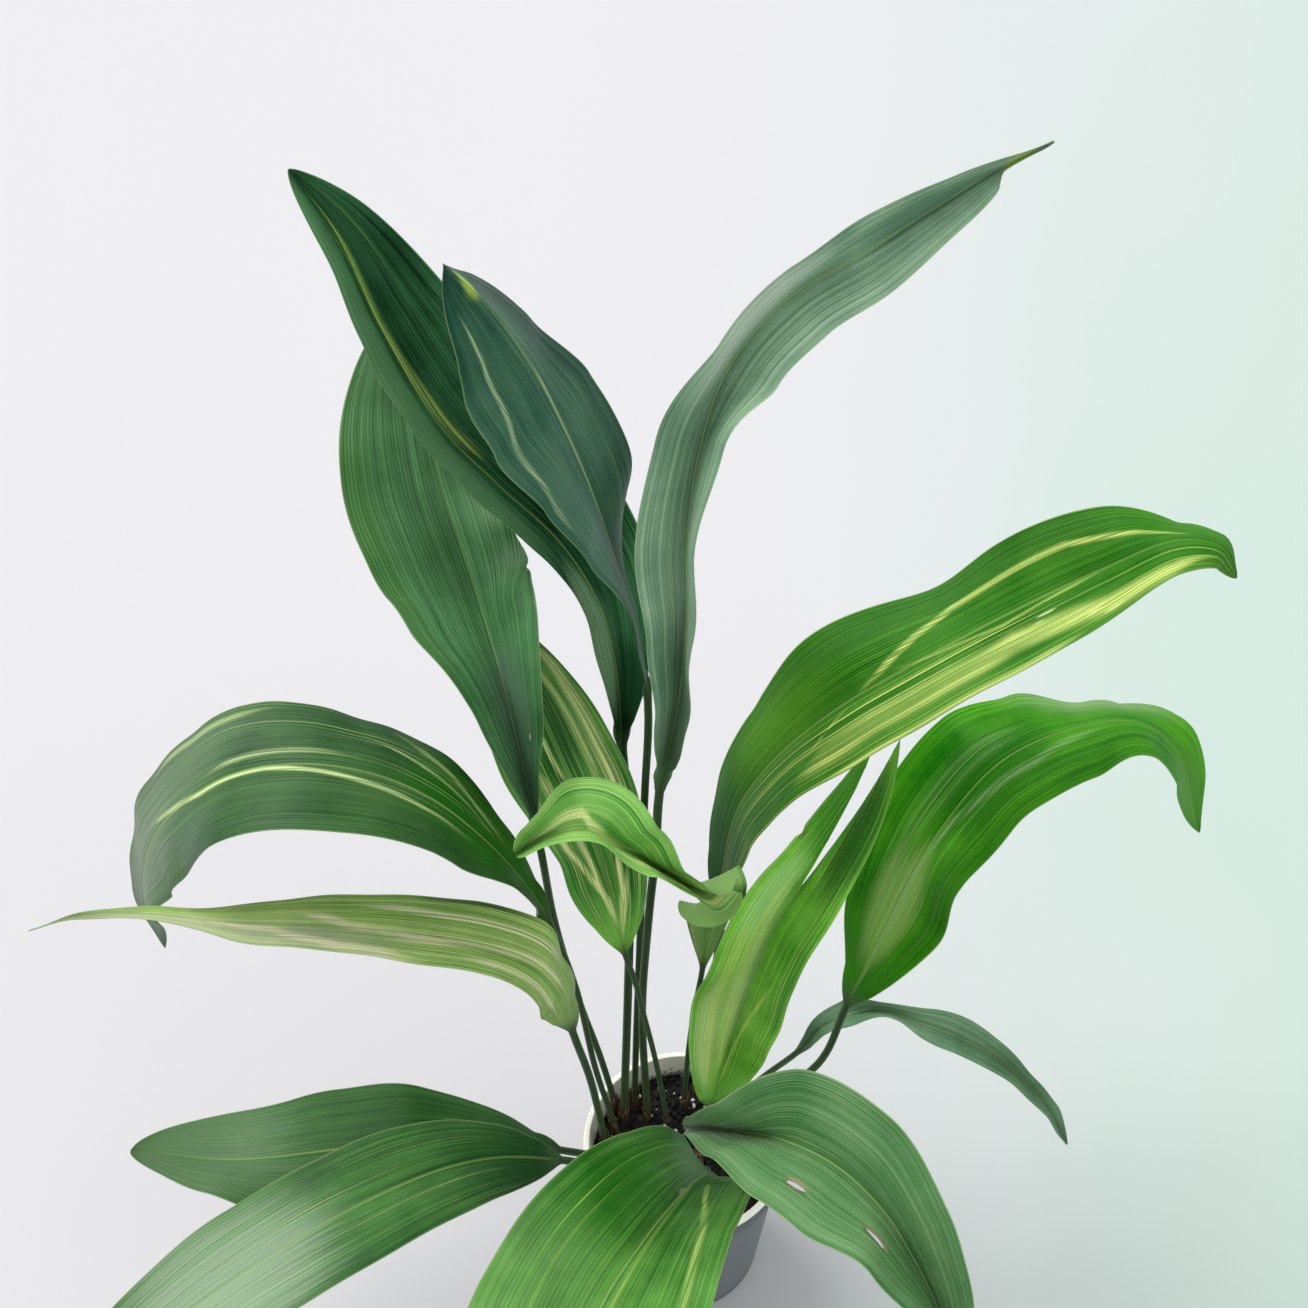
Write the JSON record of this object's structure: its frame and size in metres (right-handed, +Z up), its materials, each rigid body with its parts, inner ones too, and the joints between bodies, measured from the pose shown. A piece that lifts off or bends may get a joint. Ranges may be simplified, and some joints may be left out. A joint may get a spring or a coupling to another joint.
{
  "type": "potted cast iron plant",
  "caption": "Potted cast iron plant: long leathery green and striped leaves on slim stalks, arching out of a round grey nursery pot of compost.",
  "frame": {"origin": "middle of the pot's flat underside, on the surface that the pot stands on", "axes": "+Z up along the pot's axis, -Y towards the plant's front, +X to the right seen from the front"},
  "size_m": [0.6201, 0.546, 0.7014],
  "materials": {
    "pot": "mid-grey moulded plastic with a pale cream lip",
    "compost": "dark damp potting compost, flecked with perlite",
    "leaf_tall_left": "dark green, one yellow-green stripe",
    "leaf_tall_middle": "dark blue-green with a pale midrib",
    "leaf_broad_left": "mid green, finely ribbed",
    "leaf_tall_right": "grey-green with a dry yellow tip",
    "leaf_inner_striped": "cream and yellow striped",
    "leaf_inner_twisted": "pale, cream striped",
    "leaf_arching_left": "dark green with pale stripes in its upper half",
    "leaf_narrow_left": "pale olive, cream striped",
    "leaf_low_left": "dark green",
    "leaf_front_left": "green with a soft whitish gloss",
    "leaf_front_middle": "bright green with a pale midrib",
    "leaf_front_right": "grey-green and ribbed",
    "leaf_split_right": "bright yellow-green",
    "leaf_long_right": "bright green with yellow stripes",
    "leaf_arching_right": "saturated green with a pale midrib",
    "leaf_small_right": "dark green"
  },
  "bodies": {
    "root": {"pot": "pot", "soil": "compost", "leaf_tall_left": "leaf_tall_left", "leaf_tall_middle": "leaf_tall_middle", "leaf_broad_left": "leaf_broad_left", "leaf_tall_right": "leaf_tall_right", "leaf_inner_striped": "leaf_inner_striped", "leaf_inner_twisted": "leaf_inner_twisted", "leaf_arching_left": "leaf_arching_left", "leaf_narrow_left": "leaf_narrow_left", "leaf_low_left": "leaf_low_left", "leaf_front_left": "leaf_front_left", "leaf_front_middle": "leaf_front_middle", "leaf_front_right": "leaf_front_right", "leaf_split_right": "leaf_split_right", "leaf_long_right": "leaf_long_right", "leaf_arching_right": "leaf_arching_right", "leaf_small_right": "leaf_small_right"}
  },
  "joints": []
}
